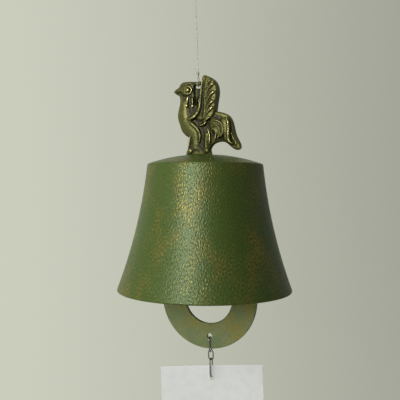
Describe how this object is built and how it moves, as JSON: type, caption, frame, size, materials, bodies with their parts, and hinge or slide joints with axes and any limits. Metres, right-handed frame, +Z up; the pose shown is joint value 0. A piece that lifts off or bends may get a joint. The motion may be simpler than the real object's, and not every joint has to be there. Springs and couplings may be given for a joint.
{
  "type": "furin wind bell",
  "caption": "Hanging wind bell with a flared cast body, a bird finial on its crown, a flat ring clapper on a wire chain and a paper strip that catches the wind.",
  "frame": {"origin": "inside top of the hanging loop, where a hook carries the bell", "axes": "+Z up along the plumb line, the bird and the ring lie in the XZ plane and the bird faces -X"},
  "size_m": [0.0814, 0.0814, 0.3738],
  "materials": {
    "bell_bronze": "satin",
    "bird_bronze": "satin",
    "ring_bronze": "satin",
    "steel": "satin",
    "nickel_wire": "polished",
    "nylon": "gloss",
    "paper": "matte"
  },
  "bodies": {
    "hanger": {"hanging_loop": "nylon", "top_knot": "nylon"},
    "line": {"hanging_line": "nylon"},
    "eye_cord": {"eye_knot": "nylon", "eye_loop": "nylon"},
    "bell": {"bell_body": "bell_bronze", "bird_finial": "bird_bronze", "eye_bolt": "steel", "crown_washer": "steel", "crown_nut": "steel"},
    "chain_1": {"upper_link_1": "nickel_wire"},
    "chain_2": {"upper_link_2": "nickel_wire"},
    "chain_3": {"upper_link_3": "nickel_wire"},
    "chain_4": {"upper_link_4": "nickel_wire"},
    "clapper": {"clapper_ring": "ring_bronze"},
    "drop_1": {"ring_link": "nickel_wire"},
    "drop_2": {"middle_link": "nickel_wire"},
    "drop_3": {"paper_link": "nickel_wire"},
    "paper": {"paper_strip": "paper"}
  },
  "joints": [
    {"name": "cord_swing", "type": "hinge", "parent": "hanger", "child": "line", "pos_m": [0, 0, -0.01955], "axis": [1, 0, 0], "range_deg": [-30, 30]},
    {"name": "cord_twist", "type": "hinge", "parent": "line", "child": "eye_cord", "pos_m": [0, 0, -0.0613], "axis": [0, 0, 1], "range_deg": [-180, 180]},
    {"name": "bell_tilt", "type": "hinge", "parent": "eye_cord", "child": "bell", "pos_m": [0, 0, -0.0669], "axis": [0, 1, 0], "range_deg": [-8, 8]},
    {"name": "chain_1_swing", "type": "hinge", "parent": "bell", "child": "chain_1", "pos_m": [0.00148, 0, -0.11783], "axis": [0, 1, 0], "range_deg": [-10, 16]},
    {"name": "chain_2_swing", "type": "hinge", "parent": "chain_1", "child": "chain_2", "pos_m": [0.00153, 0, -0.12528], "axis": [1, 0, 0], "range_deg": [-18, 18]},
    {"name": "chain_3_twist", "type": "hinge", "parent": "chain_2", "child": "chain_3", "pos_m": [0.00153, 0, -0.13254], "axis": [0, 0, 1], "range_deg": [-30, 30]},
    {"name": "chain_4_swing", "type": "hinge", "parent": "chain_3", "child": "chain_4", "pos_m": [0.00153, 0, -0.14116], "axis": [-1, 0, 0], "range_deg": [-20, 20]},
    {"name": "clapper_swing", "type": "hinge", "parent": "chain_4", "child": "clapper", "pos_m": [0.00153, 0, -0.1491], "axis": [0, -1, 0], "range_deg": [-25, 25]},
    {"name": "drop_1_swing", "type": "hinge", "parent": "clapper", "child": "drop_1", "pos_m": [0.00153, 0, -0.18497], "axis": [0, 1, 0], "range_deg": [-22, 22]},
    {"name": "drop_2_swing", "type": "hinge", "parent": "drop_1", "child": "drop_2", "pos_m": [0.00153, 0, -0.19121], "axis": [1, 0, 0], "range_deg": [-35, 35]},
    {"name": "drop_3_twist", "type": "hinge", "parent": "drop_2", "child": "drop_3", "pos_m": [0.00153, 0, -0.19495], "axis": [0, 0, 1], "range_deg": [-35, 35]},
    {"name": "paper_swing", "type": "hinge", "parent": "drop_3", "child": "paper", "pos_m": [0.00153, 0, -0.20357], "axis": [0.309, -0.9511, 0], "range_deg": [-35, 35]}
  ]
}
